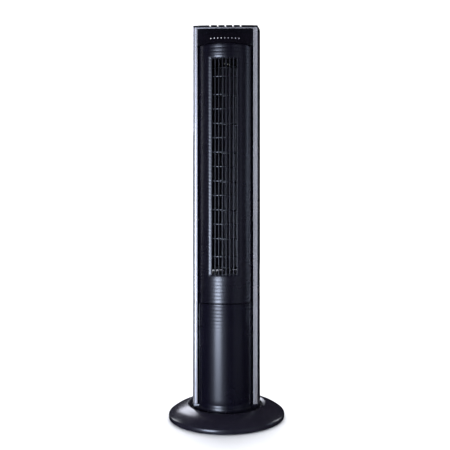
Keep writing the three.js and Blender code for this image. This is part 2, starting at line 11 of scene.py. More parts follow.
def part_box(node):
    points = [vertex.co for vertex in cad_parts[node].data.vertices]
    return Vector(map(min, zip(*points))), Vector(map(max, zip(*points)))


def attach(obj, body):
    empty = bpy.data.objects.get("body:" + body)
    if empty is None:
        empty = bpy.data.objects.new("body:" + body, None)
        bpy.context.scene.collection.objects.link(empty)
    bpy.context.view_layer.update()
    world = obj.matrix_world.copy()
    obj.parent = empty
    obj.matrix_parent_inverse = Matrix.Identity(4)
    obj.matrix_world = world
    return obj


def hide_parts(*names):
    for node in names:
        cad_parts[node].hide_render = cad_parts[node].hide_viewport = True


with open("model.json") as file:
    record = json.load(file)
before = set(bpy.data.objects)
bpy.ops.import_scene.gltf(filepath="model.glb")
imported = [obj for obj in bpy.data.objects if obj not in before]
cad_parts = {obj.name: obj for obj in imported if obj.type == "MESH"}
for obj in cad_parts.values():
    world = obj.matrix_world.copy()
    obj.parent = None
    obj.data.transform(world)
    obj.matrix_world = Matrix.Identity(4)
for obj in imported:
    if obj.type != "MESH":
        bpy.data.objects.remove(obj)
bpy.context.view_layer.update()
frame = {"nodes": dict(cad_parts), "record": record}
MM = 0.001
FACE_BACK = Matrix.Rotation(-math.pi / 2, 4, "X")  # turns a piece made along Z to point along +Y

# ---------------------------------------------------------------- driving sizes, in millimetres

FRONT_R, FRONT_Y, FRONT_WALL = 72.6, -23.3, 3.0
FRONT_HALF = math.radians(74)  # half the angle that the grille spans
LOWER_HALF = math.radians(71.2)  # and that the lower panel spans
HALF_W, REAR_Y, WALL = 86.3, 92.0, 2.6
RAIL_X, RAIL_Y = 81.4, -54.0
SPLIT_Y = -28.0
FOOT_Z, TOWER_Z, SEAM_Z, DISPLAY_Z, HOOD_Z, CAP_Z, HEIGHT = 39.5, 46.4, 305.5, 948.0, 977.6, 985.0, 1000.0
SEAM, SEAM_ARCH = 0.9, 3.6  # half the joint above the lower panel, and how far its ends drop
ARCH_FADE = 30  # height over which the arch of the joint dies out
RIB_PITCH = 8.9
OUTLET_Z, OUTLET_RIBS, OUTLET_HALF = 377.4, 60, 34.5
OUTLET_TOP = OUTLET_Z + OUTLET_RIBS * RIB_PITCH
VANES, VANE_PITCH = 8, 9.1
IMPELLER_R, IMPELLER_Z, STAGES, STAGE_H = 41.0, 388.0, 7, 72.8
RIM_R, WELL_R, WELL_FLOOR, FOOT_H = 149.0, 90.5, 24.0, 2.5
DOME = [
    (149, 9.5), (148, 13), (145.5, 15.8), (136, 22.4), (125, 28.6), (113, 33.4), (104, 36.4), (101, 37),
    (97.5, 36.4),
]
HEAD_HALF, HEAD_Y, HEAD_BOW, CREST_BOW = 70.0, -57.4, 39.7, 2.5
BAR_Z, BAR_TOP = 991.4, 994.6
BUTTONS, BUTTON_PITCH, BUTTON_W = 4, 19.2, 15.5
BUTTON_FRONT, STEM_FRONT, BUTTON_BACK = -60.2, -56.6, -36.0
KEYWAY_HALF, KEYWAY_Z, KEY_LIP = 40.3, 996.0, 997.4
LAMPS, LAMPS_LIT, LAMP_PITCH, LAMP_SHIFT, LAMP_Z = 9, 4, 8.75, 0.6, 962.5
TRIM_IN, TRIM_OUT, TRIM_Y, TRIM_Z = 70.3, 80.8, -57.0, 49.0
INTAKE_HALF, INTAKE_Z, INTAKE_TOP = 49.0, 392.0, 898.0
GRIP_HALF, GRIP_Z, GRIP_TOP = 49.0, 928.0, 958.0
SCREW_X, SCREW_HEIGHTS, GLAND_Z = 34.0, (120.0, 350.0), 82.0


# ---------------------------------------------------------------- mesh helpers


def make(name, verts, faces, smooth=30.0):
    """A mesh object from points in millimetres, shaded smooth below an angle in degrees."""
    mesh = bpy.data.meshes.new(name)
    mesh.from_pydata([(x * MM, y * MM, z * MM) for x, y, z in verts], [], faces)
    bm = bmesh.new()
    bm.from_mesh(mesh)
    bmesh.ops.remove_doubles(bm, verts=bm.verts, dist=1e-6)
    bmesh.ops.recalc_face_normals(bm, faces=bm.faces)
    bm.to_mesh(mesh)
    bm.free()
    obj = bpy.data.objects.new(name, mesh)
    bpy.context.scene.collection.objects.link(obj)
    shade(obj, smooth)
    return obj


def shade(obj, angle):
    mesh = obj.data
    mesh.polygons.foreach_set("use_smooth", [True] * len(mesh.polygons))
    mesh.set_sharp_from_angle(angle=math.radians(angle))


def apply(obj):
    """Applies the object's modifiers by taking its evaluated mesh."""
    deps = bpy.context.evaluated_depsgraph_get()
    mesh = bpy.data.meshes.new_from_object(obj.evaluated_get(deps))
    obj.modifiers.clear()
    obj.data = mesh
    return obj


def soften(obj, width, segments=2, angle=30.0):
    """Rounds the edges over an angle; width in millimetres."""
    m = obj.modifiers.new("soften", "BEVEL")
    m.width, m.segments, m.limit_method = width * MM, segments, "ANGLE"
    m.angle_limit = math.radians(angle)
    apply(obj)
    shade(obj, 40.0)
    return obj


def cut(obj, *cutters, operation="DIFFERENCE"):
    for cutter in cutters:
        m = obj.modifiers.new("cut", "BOOLEAN")
        m.operation, m.object, m.solver = operation, cutter, "EXACT"
        apply(obj)
    for cutter in cutters:
        bpy.data.objects.remove(cutter)
    shade(obj, 30.0)
    return obj


def prism(name, outline, z0, z1, smooth=30.0):
    n = len(outline)
    verts = [(x, y, z0) for x, y in outline] + [(x, y, z1) for x, y in outline]
    faces = [(i, (i + 1) % n, n + (i + 1) % n, n + i) for i in range(n)]
    faces += [tuple(range(n))[::-1], tuple(range(n, 2 * n))]
    return make(name, verts, faces, smooth)


def loft(name, sections, smooth=30.0):
    """A solid through closed sections, which are equally long lists of points."""
    n = len(sections[0])
    verts = [p for section in sections for p in section]
    faces = [tuple(range(n))[::-1], tuple(range(len(verts) - n, len(verts)))]
    for k in range(len(sections) - 1):
        a, b = k * n, (k + 1) * n
        faces += [(a + i, a + (i + 1) % n, b + (i + 1) % n, b + i) for i in range(n)]
    return make(name, verts, faces, smooth)


def rod(name, r, y0, y1, x, z, segments=40):
    """A round bar along Y."""
    obj = lathe(name, [(0, y0), (r, y0), (r, y1), (0, y1)], segments)
    obj.data.transform(Matrix.Translation((x * MM, 0, z * MM)) @ FACE_BACK)
    return obj


def brick(name, x0, x1, y0, y1, z0, z1):
    return prism(name, [(x0, y0), (x1, y0), (x1, y1), (x0, y1)], z0, z1)


def lathe(name, profile, segments=128, smooth=30.0):
    """A closed profile of (radius, height) turned round Z."""
    n = len(profile)
    verts, faces = [], []
    for i in range(segments):
        a = 2 * math.pi * i / segments
        verts += [(r * math.cos(a), r * math.sin(a), z) for r, z in profile]
    for i in range(segments):
        j = (i + 1) % segments
        for k in range(n):
            m = (k + 1) % n
            if profile[k][0] == 0 and profile[m][0] == 0:
                continue
            faces.append((i * n + k, j * n + k, j * n + m, i * n + m))
    return make(name, verts, faces, smooth)


def front(r, a):
    return r * math.sin(a), FRONT_Y - r * math.cos(a)


def front_arc(name, r, thickness, half, z0, z1, steps=64):
    out = [front(r, half * (2 * i / steps - 1)) for i in range(steps + 1)]
    back = [front(r - thickness, half * (2 * i / steps - 1)) for i in range(steps, -1, -1)]
    return prism(name, out + back, z0, z1)


def side_x(y):
    return HALF_W - (HALF_W - RAIL_X) * (y / RAIL_Y) ** 2


def tower_outline(front_y, inset=0.0, steps=40, sides=12):
    right = [(side_x(front_y * (1 - i / sides)) - inset, front_y * (1 - i / sides)) for i in range(sides)]
    for i in range(steps + 1):
        a = math.pi / 2 * i / steps
        right.append(((HALF_W - inset) * math.cos(a), (REAR_Y - inset) * math.sin(a)))
    return right + [(-x, y) for x, y in reversed(right[:-1])]


# ---------------------------------------------------------------- materials


SHADE_LOW, SHADE_HIGH = 0.82, 1.1  # how far the base colour varies over a piece


def material(name, color, roughness, metallic=0.0, level=0.5, grain=0.0, smudge=0.06):
    """A moulded or painted surface: base colour with faint variation, uneven gloss and a fine grain bump."""
    mat = bpy.data.materials.new(name)
    mat.use_nodes = True
    nt = mat.node_tree
    bsdf = nt.nodes["Principled BSDF"]
    bsdf.inputs["Metallic"].default_value = metallic
    bsdf.inputs["Specular IOR Level"].default_value = level
    coord = nt.nodes.new("ShaderNodeTexCoord")
    cloud = nt.nodes.new("ShaderNodeTexNoise")
    cloud.inputs["Scale"].default_value = 9.0
    cloud.inputs["Detail"].default_value = 5.0
    nt.links.new(coord.outputs["Object"], cloud.inputs["Vector"])
    gloss = nt.nodes.new("ShaderNodeMapRange")
    gloss.inputs["To Min"].default_value = max(0.02, roughness - smudge)
    gloss.inputs["To Max"].default_value = roughness + smudge
    nt.links.new(cloud.outputs["Fac"], gloss.inputs["Value"])
    nt.links.new(gloss.outputs["Result"], bsdf.inputs["Roughness"])
    shade_mix = nt.nodes.new("ShaderNodeMix")
    shade_mix.data_type = "RGBA"
    shade_mix.inputs["A"].default_value = (*[c * SHADE_LOW for c in color], 1)
    shade_mix.inputs["B"].default_value = (*[min(1, c * SHADE_HIGH) for c in color], 1)
    nt.links.new(cloud.outputs["Fac"], shade_mix.inputs["Factor"])
    nt.links.new(shade_mix.outputs["Result"], bsdf.inputs["Base Color"])
    if grain:
        fine = nt.nodes.new("ShaderNodeTexNoise")
        fine.inputs["Scale"].default_value = 900.0
        fine.inputs["Detail"].default_value = 2.0
        nt.links.new(coord.outputs["Object"], fine.inputs["Vector"])
        bump = nt.nodes.new("ShaderNodeBump")
        bump.inputs["Strength"].default_value = grain
        bump.inputs["Distance"].default_value = 0.0004
        nt.links.new(fine.outputs["Fac"], bump.inputs["Height"])
        nt.links.new(bump.outputs["Normal"], bsdf.inputs["Normal"])
    return mat


MATS = {
    "satin_black": material("satin_black_plastic", (0.0025, 0.0021, 0.0052), 0.27, level=0.6, grain=0.06),
    "gloss_black": material("gloss_black_plastic", (0.004, 0.004, 0.007), 0.14, level=0.3, smudge=0.03),
    "panel_black": material("panel_black_plastic", (0.002, 0.0017, 0.005), 0.27, level=0.45, smudge=0.03),
    "base_black": material("base_black_plastic", (0.008, 0.0072, 0.012), 0.24, level=0.5, smudge=0.03),
    "vane_black": material(
        "vane_black_plastic", (0.003, 0.003, 0.006), 0.36, level=0.5, smudge=0.03, grain=0.05),
    "cap_black": material("cap_black_plastic", (0.0025, 0.0025, 0.004), 0.2, level=0.35, smudge=0.03),
    "window_black": material("window_black_plastic", (0.003, 0.0026, 0.0045), 0.2, level=0.3, smudge=0.03),
    "impeller_black": material("impeller_black_plastic", (0.016, 0.014, 0.022), 0.4, level=0.6, grain=0.1),
    "disc_black": material("disc_black_plastic", (0.02, 0.02, 0.024), 0.22, level=1.0, grain=0.05),
    "silver": material("silver_paint", (0.54, 0.53, 0.555), 0.12, metallic=0.75, smudge=0.02),
    "bar_silver": material("bar_silver_paint", (0.30, 0.295, 0.31), 0.27, metallic=0.75, smudge=0.02),
    "rubber": material("black_rubber", (0.018, 0.018, 0.019), 0.75, level=0.3, grain=0.4),
    "dark_plastic": material("dark_plastic", (0.010, 0.010, 0.012), 0.42, level=0.4, grain=0.2),
    "nylon": material("natural_nylon", (0.60, 0.57, 0.49), 0.5, grain=0.1),
    "steel": material("plain_steel", (0.42, 0.43, 0.45), 0.35, metallic=1.0, grain=0.08),
    "circuit": material("solder_mask", (0.02, 0.10, 0.035), 0.45, grain=0.1),
    "milky": material("light_guide", (0.7, 0.75, 0.82), 0.4),
    "key_grey": material("key_plastic", (0.006, 0.006, 0.009), 0.25, level=0.4, grain=0.05),
}


def glow_material(name, color, strength):
    mat = material(name, color, 0.3)
    bsdf = mat.node_tree.nodes["Principled BSDF"]
    bsdf.inputs["Emission Color"].default_value = (*color, 1)
    bsdf.inputs["Emission Strength"].default_value = strength
    return mat


MATS["lamp_on"] = glow_material("lamp_on", (0.9, 0.93, 1.0), 0.5)
# The unlit indicator lenses get a faint glow of their own, though they are off: painted light.
MATS["unlit_lamp_painted_glow"] = glow_material("unlit_lamp_painted_glow", (0.5, 0.5, 0.56), 0.12)


def dress(obj, slot, body, *nodes):
    """Material, slot and body of a new piece, and the CAD nodes that it stands for."""
    obj.data.materials.clear()
    obj.data.materials.append(MATS[slot])
    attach(obj, body)
    if nodes:
        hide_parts(*nodes)
    return obj


SLOT_OF = {s["node"]: s["material_slot"] for s in frame["record"]["subparts"]}
for node, obj in frame["nodes"].items():
    obj.data.materials.clear()
    obj.data.materials.append(MATS[SLOT_OF[node]])

# ---------------------------------------------------------------- base


def round_profile(points, radii, steps=5):
    """Corner rounding of a closed (r, z) profile; radii holds one radius per point."""
    out = []
    n = len(points)
    for i, radius in enumerate(radii):
        p = Vector(points[i])
        if radius == 0:
            out.append(tuple(p))
            continue
        a, b = Vector(points[i - 1]), Vector(points[(i + 1) % n])
        u, v = (a - p).normalized(), (b - p).normalized()
        start, end = p + u * radius, p + v * radius
        for k in range(steps + 1):
            t = k / steps
            q = start * (1 - t) ** 2 + p * 2 * t * (1 - t) + end * t**2
            out.append(tuple(q))
    return out


def spline(points, steps=6):
    """A smooth Catmull-Rom run through (r, z) points."""
    ends = [points[0]] + list(points) + [points[-1]]
    out = []
    for i in range(len(points) - 1):
        p0, p1, p2, p3 = (Vector(q) for q in ends[i : i + 4])
        for k in range(steps):
            t = k / steps
            q = 0.5 * (2 * p1 + (p2 - p0) * t + (2 * p0 - 5 * p1 + 4 * p2 - p3) * t**2
                       + (3 * p1 - p0 - 3 * p2 + p3) * t**3)
            out.append(tuple(q))
    return out + [tuple(points[-1])]


def build_base():
    wall = 2.6
    outside = spline([(RIM_R - 0.2, 4.6), (RIM_R, 7), *DOME, (93, 35), (91.2, 34), (WELL_R, 32)], 4)
    inside = [(r - 3.2, z - wall) for r, z in reversed(DOME[:6])]
    profile = [(RIM_R - 1.4, FOOT_H), (RIM_R - 0.6, FOOT_H + 0.7), *outside]
    profile += [(WELL_R, WELL_FLOOR + 1), (WELL_R - 1, WELL_FLOOR), (61, WELL_FLOOR), (61, WELL_FLOOR - wall)]
    profile += [(WELL_R + wall, WELL_FLOOR - wall), (WELL_R + wall, 29), *inside, (RIM_R - 3.2, FOOT_H)]
    cover = lathe("base_cover_moulding", profile, 192, 40.0)
    dress(cover, "base_black", "base", "base_cover")
    for i in range(1, 6):
        low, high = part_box(f"rubber_foot_{i}")
        centre = Vector(((low[0] + high[0]) / 2, (low[1] + high[1]) / 2, 0))
        pad = round_profile([(0, 0), (9, 0), (9, 2.2), (0, 2.2)], [0, 0.8, 0.3, 0], 4)
        pad = lathe(f"foot_pad_{i}", pad, 48)
        pad.data.transform(Matrix.Translation(centre))
        dress(pad, "rubber", "base", f"rubber_foot_{i}")


# ---------------------------------------------------------------- front panels


GROOVE = 2.2  # half-width of the groove between two ribs
RIB_DEPTH = 0.33
SAMPLES = [  # mesh rows within one rib pitch
    -0.5, -0.38, -0.3, -0.25, -0.2, -0.15, -0.1, -0.05, 0, 0.05, 0.1, 0.15, 0.2, 0.25, 0.3, 0.38,
]


def groove(z):
    """0 on a rib's land, 1 at the bottom of the groove between two ribs."""
    off = (z - OUTLET_Z + RIB_PITCH / 2) % RIB_PITCH - RIB_PITCH / 2
    if abs(off) >= GROOVE:
        crown = (abs(off) - RIB_PITCH / 2) / (RIB_PITCH / 2 - GROOVE)
        return 0.2 * crown**2
    return 0.2 + 0.8 * (0.5 + 0.5 * math.cos(math.pi * off / GROOVE))


def panel_rows(z0, z1):
    first = math.floor((z0 - OUTLET_Z) / RIB_PITCH) - 1
    last = math.ceil((z1 - OUTLET_Z) / RIB_PITCH) + 1
    rows = {z0, z1}
    for k in range(first, last + 1):
        rows |= {round(OUTLET_Z + (k + t) * RIB_PITCH, 4) for t in SAMPLES}
    return sorted(z for z in rows if z0 <= z <= z1)


def arch(z, a):
    """The joint between the panels is arched; the ribs straighten out away from it."""
    return SEAM_ARCH * math.sin(a) ** 2 * max(0.0, 1 - abs(z - SEAM_Z) / ARCH_FADE)


def curved_panel(name, r, half, rows, depth_at, opening=None, columns=80, thickness=FRONT_WALL):
    """A curved sheet; depth_at(z, angle) sinks its outside; opening is (half angle, z0, z1)."""
    if opening:
        edge = opening[0]
        side = [-half + (half - edge) * i / 26 for i in range(27)]
        middle = [-edge + 2 * edge * i / 24 for i in range(1, 24)]
        angles = side + middle + [-a for a in reversed(side)]
        clear = {z for z in rows if min(abs(z - opening[1]), abs(z - opening[2])) > 0.3}
        rows = sorted(clear | set(opening[1:]))
    else:
        angles = [half * (2 * i / columns - 1) for i in range(columns + 1)]
    wide = len(angles)
    verts = [(*front(r - depth_at(z, a), a), z - arch(z, a)) for z in rows for a in angles]
    faces = []
    for i in range(len(rows) - 1):
        for j in range(wide - 1):
            mid_a, mid_z = (angles[j] + angles[j + 1]) / 2, (rows[i] + rows[i + 1]) / 2
            if opening and abs(mid_a) < opening[0] and opening[1] < mid_z < opening[2]:
                continue
            faces.append((i * wide + j, i * wide + j + 1, (i + 1) * wide + j + 1, (i + 1) * wide + j))
    count = len(verts)
    verts += [(*front(r - thickness, a), z - arch(z, a)) for z in rows for a in angles]
    inner = [tuple(count + v for v in reversed(f)) for f in faces]
    edges = {(f[k], f[(k + 1) % 4]) for f in faces for k in range(4)}
    walls = [(b, a, a + count, b + count) for a, b in edges if (b, a) not in edges]
    used = sorted({v for f in faces + inner for v in f})
    index = {v: i for i, v in enumerate(used)}
    remapped = [tuple(index[v] for v in f) for f in faces + inner + sorted(walls)]
    return make(name, [verts[v] for v in used], remapped, 50.0)


def build_front():
    edge = math.asin(OUTLET_HALF / FRONT_R)
    z0, z1 = SEAM_Z + SEAM, DISPLAY_Z - 0.8
    soft, dip = 9.0, 2.4  # the rounded border of the outlet

    def upper_depth(z, a):
        round_over = 0.5 if z in (z0, z1) else 0.0
        aside, past = (abs(a) - edge) * FRONT_R, max(OUTLET_Z - z, z - OUTLET_TOP)
        away = min(1.0, math.hypot(max(aside, 0), max(past, 0)) / soft)
        return RIB_DEPTH * groove(z) * (0.3 + 0.7 * away) + round_over + dip * (1 - away) ** 2

    grille = curved_panel(
        "front_grille_panel", FRONT_R, FRONT_HALF, sorted({z0 + 0.4, z1 - 0.4, *panel_rows(z0, z1)}),
        upper_depth, (edge, OUTLET_Z, OUTLET_TOP),
    )
    dress(grille, "satin_black", "tower", "front_grille")

    ranks = [5] + [10 + 4 * i for i in range(11)] + [OUTLET_RIBS - 5]
    for k, rank in enumerate(ranks):
        z = OUTLET_Z + rank * RIB_PITCH
        bar = front_arc(f"cross_bar_{k + 1}", FRONT_R - 3.8, 2.6, edge + 0.03, z - 1.2, z + 1.2, 24)
        dress(soften(bar, 0.5), "satin_black", "tower")
    for k in range(VANES):
        x = (k - (VANES - 1) / 2) * VANE_PITCH
        y = FRONT_Y - math.sqrt((FRONT_R - 0.6) ** 2 - x * x)
        nose = [(-1.5 * math.cos(t), 1.5 - 1.5 * math.sin(t)) for t in [math.pi * i / 12 for i in range(13)]]
        section = [(x + u, y + v) for u, v in [*nose, (1.1, 10.5), (-1.1, 10.5)]]
        vane = prism(f"outlet_vane_{k + 1}", section, OUTLET_Z - 1.5, OUTLET_TOP + 1.5, 50.0)
        dress(vane, "vane_black", "tower")

    bottom, top = TOWER_Z, SEAM_Z - SEAM
    lip = TOWER_Z + 7
    shoulder = math.radians(65.3)

    def lower_depth(z, a):
        fade = max(0.0, min(1.0, (z - 229) / 45))
        depth = 0.3 + 1.15 * RIB_DEPTH * groove(z) * fade + (0.5 if z == top else 0.0)
        if z < lip:
            depth -= 0.3 * min(1.0, (lip - z) / 1.2)
        depth += 0.2 * max(0.0, 1 - abs(z - lip - 0.8) / 0.8)
        # A rounded shoulder down each side, with a narrow recess outside it.
        beyond = (abs(a) - shoulder) * FRONT_R
        return depth if beyond < -1 else min(depth + 2.0, depth + 0.5 * (beyond + 1) ** 2)

    rows = {bottom, lip, lip - 1.2, lip + 0.8, lip + 1.6, top, top - 0.5, *panel_rows(226, top - 0.6)}
    rows |= {70 + 12 * i for i in range(13)}
    lower = curved_panel("lower_panel", FRONT_R + 0.2, LOWER_HALF, sorted(rows), lower_depth, columns=170)
    dress(lower, "panel_black", "tower", "lower_front_panel")
    for side, name in ((-1, "left"), (1, "right")):
        x, y = front(FRONT_R - 0.7, side * (shoulder - 0.006))
        low, high = lip + 2, SEAM_Z - 4
        bead = round_profile([(0, low), (1.2, low), (1.2, high), (0, high)], [0, 0.6, 0.6, 0], 3)
        bead = lathe(f"panel_edge_bead_{name}", bead, 24)
        bead.data.transform(Matrix.Translation((x * MM, y * MM, 0)))
        dress(bead, "panel_black", "tower")


# ---------------------------------------------------------------- control head


def wedge(name, outline, x0, x1):
    """A (y, z) outline drawn out along X."""
    return loft(name, [[(x, y, z) for y, z in outline] for x in (x0, x1)])


def head_front(x, z):
    """The y of the head's face, an arc between the trims that flattens up to the silver bar."""
    rise = min(1.0, (z - DISPLAY_Z) / (BAR_Z - DISPLAY_Z))
    bow = HEAD_BOW + (CREST_BOW - HEAD_BOW) * rise
    r = (HEAD_HALF**2 + bow**2) / (2 * bow)
    return HEAD_Y - math.sqrt(r * r - x * x) + r - bow


def head_block(name, z0, z1, inset, half, back, steps=48, levels=6):
    sections = []
    for k in range(levels + 1):
        z = z0 + (z1 - z0) * k / levels
        xs = [half * (2 * i / steps - 1) for i in range(steps + 1)]
        sections.append([(x, head_front(x, z) + inset, z) for x in xs] + [(half, back, z), (-half, back, z)])
    return loft(name, sections)


def build_head():
    z0, z1 = DISPLAY_Z + 0.8, HOOD_Z
    window = head_block("control_window_lens", z0, z1, 0, HEAD_HALF, -45)
    cut(window, head_block("hollow", z0 + 2, z1 + 1, 2.6, HEAD_HALF - 2.6, -40))
    dress(soften(window, 0.5, 3), "window_black", "tower", "control_window")

    # The cap: a rounded top, the hood in front of it, and a band over the ends of the trims.
    rounding = [(0.0, 0.0), (10.6, 0.0), (12.6, 0.3), (13.8, 0.9), (14.6, 1.9), (15.0, 3.0)]
    rings = [[(x, y, CAP_Z + h) for x, y in tower_outline(RAIL_Y, inset)] for h, inset in rounding]
    cap = loft("cap_moulding", rings, 45)
    joined = RAIL_Y + 1.2
    cut(cap, head_block("hood", HOOD_Z, BAR_Z, 0, HEAD_HALF, joined), operation="UNION")
    brow = head_block("brow", BAR_Z - 0.5, HEIGHT - 0.02, 0, HEAD_HALF, joined)
    cut(cap, soften(brow, 1.0, 3), operation="UNION")
    ends = brick("ends", -TRIM_OUT - 0.4, TRIM_OUT + 0.4, TRIM_Y - 0.2, joined, BAR_TOP + 0.3, HEIGHT - 0.3)
    cut(cap, soften(ends, 1.4, 4), operation="UNION")
    groove_cut = brick("groove", -HEAD_HALF - 1, HEAD_HALF + 1, -120, joined, BAR_Z - 0.1, BAR_TOP + 0.1)
    cut(groove_cut, head_block("seat", BAR_Z - 2, BAR_TOP + 2, 1.9, HEAD_HALF + 2, joined + 2))
    cut(cap, groove_cut)
    cut(cap, brick("keyway", -KEYWAY_HALF, KEYWAY_HALF, -120, BUTTON_BACK + 0.4, KEYWAY_Z, HEIGHT + 1))
    for i in range(BUTTONS):
        x = (i - (BUTTONS - 1) / 2) * BUTTON_PITCH
        half = BUTTON_W / 2 + 0.4
        y0, y1 = STEM_FRONT - 0.4, BUTTON_BACK + 0.4
        cut(cap, brick("slot", x - half, x + half, y0, y1, CAP_Z - 9, HEIGHT + 1))
    cut(cap, prism("cavity", tower_outline(RAIL_Y + 3, 3), CAP_Z - 1, HEIGHT - 8))
    dress(soften(cap, 0.4, 2, 50), "cap_black", "tower", "top_cap")

    bar = head_block("silver_bar", BAR_Z, BAR_TOP, 0.1, HEAD_HALF + 0.1, HEAD_Y + 1.6)
    cut(bar, head_block("seat", BAR_Z - 2, BAR_TOP + 2, 1.6, HEAD_HALF + 2, -40))
    dress(soften(bar, 0.5, 3), "bar_silver", "tower", "silver_top_bar")

    side = [(STEM_FRONT, 983), (STEM_FRONT, KEY_LIP), (BUTTON_FRONT, KEY_LIP), (BUTTON_FRONT, HEIGHT),
            (BUTTON_BACK, HEIGHT), (BUTTON_BACK, 987), (-50, 987), (-50, 983)]
    for i in range(BUTTONS):
        x = (i - (BUTTONS - 1) / 2) * BUTTON_PITCH
        key = soften(wedge(f"key_cap_{i + 1}", side, x - BUTTON_W / 2, x + BUTTON_W / 2), 0.7, 3)
        dress(key, "key_grey", f"key_{i + 1}", f"button_{i + 1}")

    lamp = round_profile([(0, -0.6), (1.1, -0.6), (1.1, 0.35), (0, 0.35)], [0, 0, 0.3, 0], 3)
    z = LAMP_Z
    for k in range(LAMPS):
        x = LAMP_PITCH * (k - (LAMPS - 1) // 2) + LAMP_SHIFT
        here = Vector((x, head_front(x, z), z))
        along = Vector((x + 1, head_front(x + 1, z), z)) - here
        up = Vector((x, head_front(x, z + 1), z + 1)) - here
        out = along.cross(up).normalized()
        lens = lathe(f"indicator_lens_{k + 1}", lamp, 24)
        turn = out.to_track_quat("Z", "Y").to_matrix().to_4x4()
        lens.data.transform(Matrix.Translation(here * MM) @ turn)
        dress(lens, "lamp_on" if k < LAMPS_LIT else "unlit_lamp_painted_glow", "tower")


# ---------------------------------------------------------------- shells and trims


def back_y(x):
    return REAR_Y * math.sqrt(1 - (x / HALF_W) ** 2)


def build_shells():
    for side, name in ((1, "right"), (-1, "left")):
        ys = [SPLIT_Y + (RAIL_Y - SPLIT_Y) * i / 12 for i in range(13)]
        points = [(side_x(y), y) for y in ys]
        points += [(TRIM_IN - 0.1, RAIL_Y), (TRIM_IN - 0.1, -44.5), (80, -40), (80, SPLIT_Y)]
        rail = prism(f"side_rail_cover_{name}", [(side * x, y) for x, y in points], TOWER_Z, CAP_Z - 0.3)
        dress(soften(rail, 0.5), "satin_black", "tower", f"side_rail_{name}")
        strip = [
            (TRIM_IN, RAIL_Y - 0.3), (TRIM_IN, TRIM_Y + 0.3), (TRIM_IN + 0.3, TRIM_Y),
            (TRIM_IN + 4.6, TRIM_Y + 0.04), (TRIM_IN + 5.2, TRIM_Y + 0.12),
            (TRIM_OUT - 0.8, TRIM_Y + 2.35), (TRIM_OUT - 0.2, TRIM_Y + 2.7), (TRIM_OUT, RAIL_Y - 0.2),
        ]
        trim = prism(f"silver_strip_{name}", [(side * x, y) for x, y in strip], TRIM_Z, BAR_TOP, 14.0)
        dress(trim, "silver", "tower", f"silver_trim_{name}")

    shell = prism("rear_shell", tower_outline(SPLIT_Y + 0.3), TOWER_Z, CAP_Z - 0.3)
    cut(shell, prism("inside", tower_outline(SPLIT_Y - 2, WALL), TOWER_Z - 1, CAP_Z + 1))
    cut(shell, brick("intake", -INTAKE_HALF, INTAKE_HALF, 20, 110, INTAKE_Z, INTAKE_TOP))
    cut(shell, brick("grip", -GRIP_HALF, GRIP_HALF, 40, 110, GRIP_Z, GRIP_TOP))
    cut(shell, rod("gland", 6.4, 60, 110, 0, GLAND_Z))
    count = 0
    for z in SCREW_HEIGHTS:
        for x in (-SCREW_X, SCREW_X):
            y = back_y(x)
            cut(shell, rod("boss", 7, y - 16, y - 1.5, x, z), operation="UNION")
            cut(shell, rod("sink", 4.6, y - 4, 110, x, z), rod("bore", 2.1, y - 17, 110, x, z))
            count += 1
            head = round_profile([(0, 0), (4.0, 0), (4.0, 2.2), (0, 2.4)], [0, 0.3, 1.3, 0], 4)
            screw = lathe(f"screw_head_{count}", head, 40)
            long, thin = 2.3, 0.4
            cut(screw, brick("slot", -long, long, -thin, thin, 1.0, 4),
                brick("slot", -thin, thin, -long, long, 1.0, 4))
            screw.data.transform(Matrix.Translation((x * MM, (y - 3.8) * MM, z * MM)) @ FACE_BACK)
            dress(screw, "steel", "tower", f"housing_screw_{count}")
    dress(soften(shell, 0.6, 2, 40), "satin_black", "tower", "rear_housing")

    collar = [(3.6, -8), (6.0, -8), (6.0, 0.4), (8.4, 0.4), (8.4, 2.4), (3.6, 2.4)]
    gland = lathe("gland_collar", round_profile(collar, [0.3, 0.3, 0, 0.2, 1.0, 0.8], 4), 48)
    gland.data.transform(Matrix.Translation((0, REAR_Y * MM, GLAND_Z * MM)) @ FACE_BACK)
    dress(gland, "rubber", "tower", "cord_gland")

    foot = prism("foot_moulding", tower_outline(RAIL_Y + 2.2, 2.2), FOOT_Z, TOWER_Z - 0.3)
    bow = front_arc("bow", FRONT_R - 0.6, FRONT_R - 12, LOWER_HALF, FOOT_Z, TOWER_Z - 0.3)
    dress(soften(cut(foot, bow, operation="UNION"), 0.5, 2, 40), "satin_black", "tower", "tower_foot")


